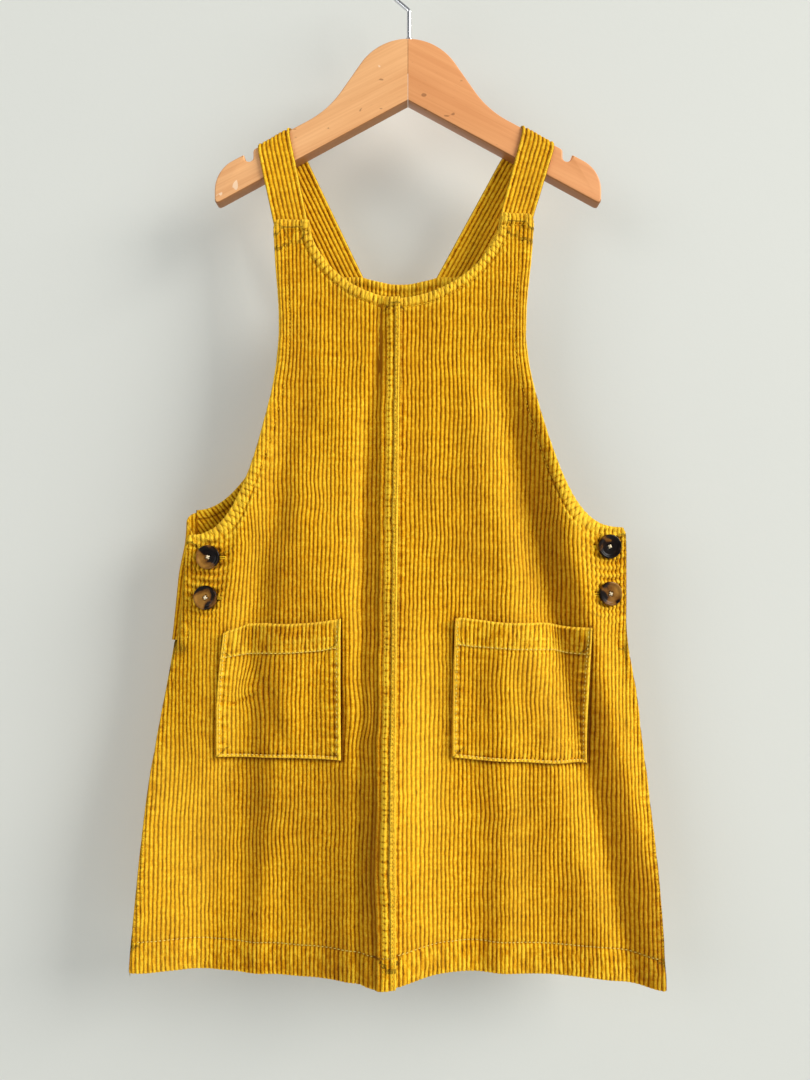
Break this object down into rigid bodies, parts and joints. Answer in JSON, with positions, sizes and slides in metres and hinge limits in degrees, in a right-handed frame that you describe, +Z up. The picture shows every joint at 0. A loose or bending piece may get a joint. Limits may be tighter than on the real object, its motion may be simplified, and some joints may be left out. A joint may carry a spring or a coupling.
{
  "type": "child's corduroy pinafore dress on a wooden hanger",
  "caption": "Sleeveless A-line corduroy pinafore with bib, shoulder straps, patch pockets and side button plackets, hung on a small wooden hanger with a steel hook.",
  "frame": {"origin": "underside of the top of the hook's crook, in the hanger's middle plane", "axes": "+Z up, +X to the right as seen by someone facing the dress, the front of the dress faces -Y"},
  "size_m": [0.4123, 0.0697, 0.7984],
  "materials": {
    "cloth": "mustard wide-wale cotton corduroy, worn pale at the edges",
    "button": "brown tortoiseshell, glossy",
    "wood": "pale hardwood, satin lacquer",
    "steel": "polished steel wire"
  },
  "bodies": {
    "root": {"front_left": "cloth", "front_right": "cloth", "back": "cloth", "back_neck_facing": "cloth", "armhole_facing_left": "cloth", "armhole_facing_right": "cloth", "button_stand_left": "cloth", "button_stand_right": "cloth", "pocket_left": "cloth", "pocket_right": "cloth", "strap_left": "cloth", "strap_right": "cloth", "button_1": "button", "button_2": "button", "button_3": "button", "button_4": "button", "hanger_left": "wood", "hanger_right": "wood", "hook": "steel", "hook_collar": "steel"}
  },
  "joints": []
}
